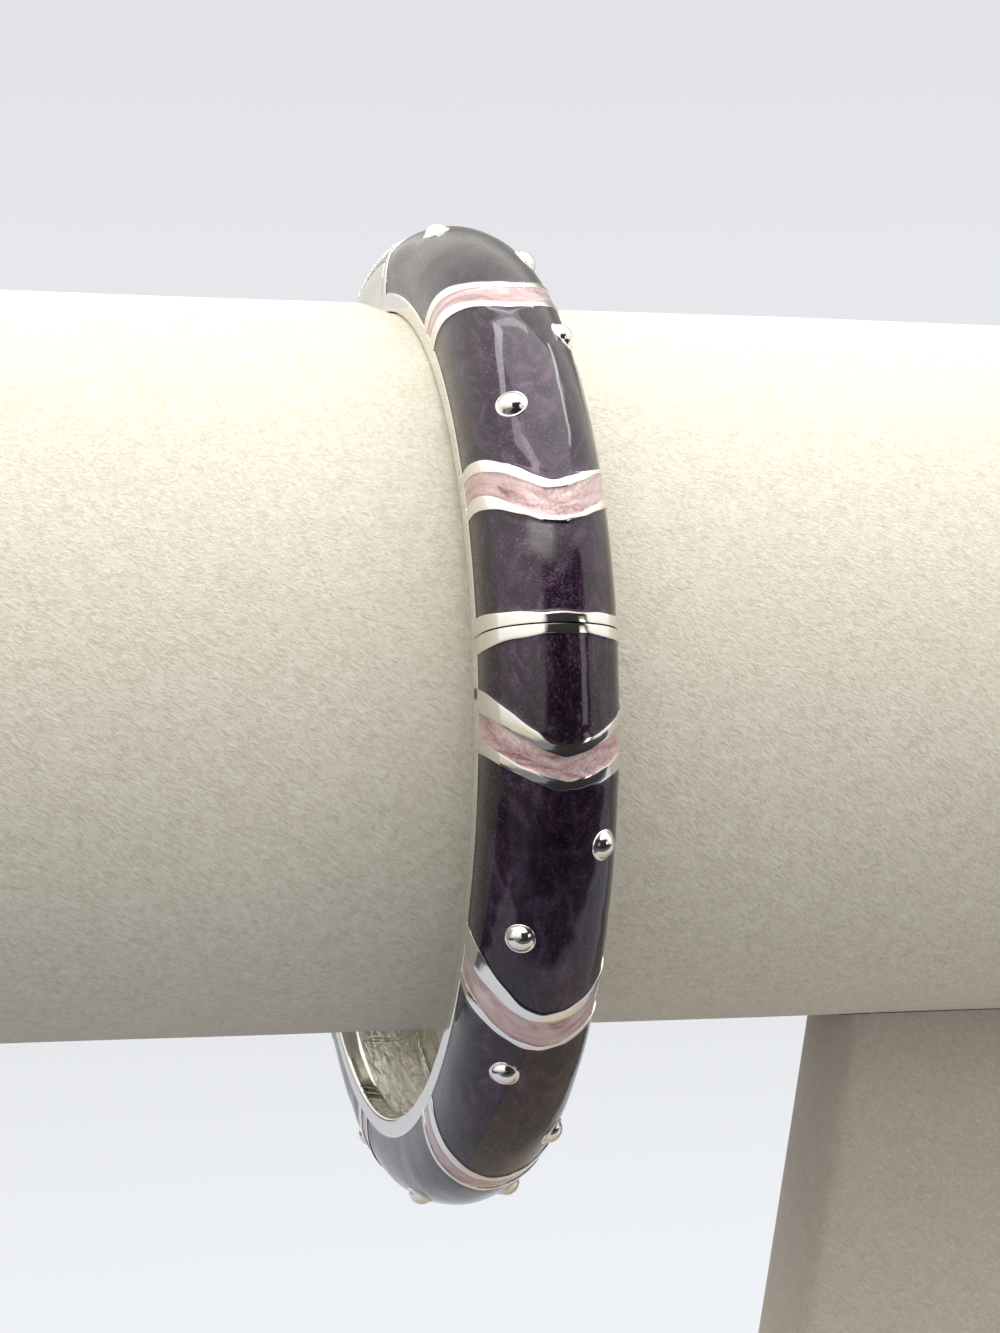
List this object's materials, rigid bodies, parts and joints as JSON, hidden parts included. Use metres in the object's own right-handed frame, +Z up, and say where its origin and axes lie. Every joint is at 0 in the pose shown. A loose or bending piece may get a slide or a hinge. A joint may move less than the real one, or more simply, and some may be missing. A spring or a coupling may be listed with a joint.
{
  "type": "hinged enamel bangle on a plain T-bar display stand",
  "caption": "Round hinged bangle with purple enamel panels, pink chevron bands, domed studs and a pave top, hanging on a plain velvet-covered T-bar display stand.",
  "frame": {"origin": "centre of the underside of the stand's base", "axes": "+X along the bar, away from the bangle; +Z up; -Y is the side that the bangle's clasp faces"},
  "size_m": [0.184, 0.124, 0.1317],
  "materials": {
    "ivory_velvet": "short napped velvet over a hard core",
    "plated_metal": "polished bright plating on cast alloy",
    "dark_steel": "plain pin end",
    "clear_stone": "clear cut stones",
    "purple_enamel": "deep aubergine pearl enamel, glossy",
    "pink_enamel": "pink pearl enamel, glossy"
  },
  "bodies": {
    "root": {"stand_base": "ivory_velvet", "stand_post": "ivory_velvet", "stand_bar": "ivory_velvet", "shell_upper": "plated_metal", "hinge_pin": "plated_metal", "pave_stones": "clear_stone", "purple_upper_1": "purple_enamel", "purple_upper_2": "purple_enamel", "purple_upper_3": "purple_enamel", "purple_upper_4": "purple_enamel", "purple_upper_5": "purple_enamel", "purple_upper_6": "purple_enamel", "pink_upper_1": "pink_enamel", "pink_upper_2": "pink_enamel", "pink_upper_3": "pink_enamel", "pink_upper_4": "pink_enamel"},
    "lower_half": {"shell_lower": "plated_metal", "catch_pin": "dark_steel", "purple_lower_1": "purple_enamel", "purple_lower_2": "purple_enamel", "purple_lower_3": "purple_enamel", "purple_lower_4": "purple_enamel", "purple_lower_5": "purple_enamel", "purple_lower_6": "purple_enamel", "purple_lower_7": "purple_enamel", "pink_lower_1": "pink_enamel", "pink_lower_2": "pink_enamel", "pink_lower_3": "pink_enamel", "pink_lower_4": "pink_enamel", "pink_lower_5": "pink_enamel", "pink_lower_6": "pink_enamel"}
  },
  "joints": [
    {"name": "bangle_hinge", "type": "hinge", "parent": "root", "child": "lower_half", "pos_m": [-0.046, 0.03348, 0.0907], "axis": [1, 0, 0], "range_deg": [0, 60]}
  ]
}
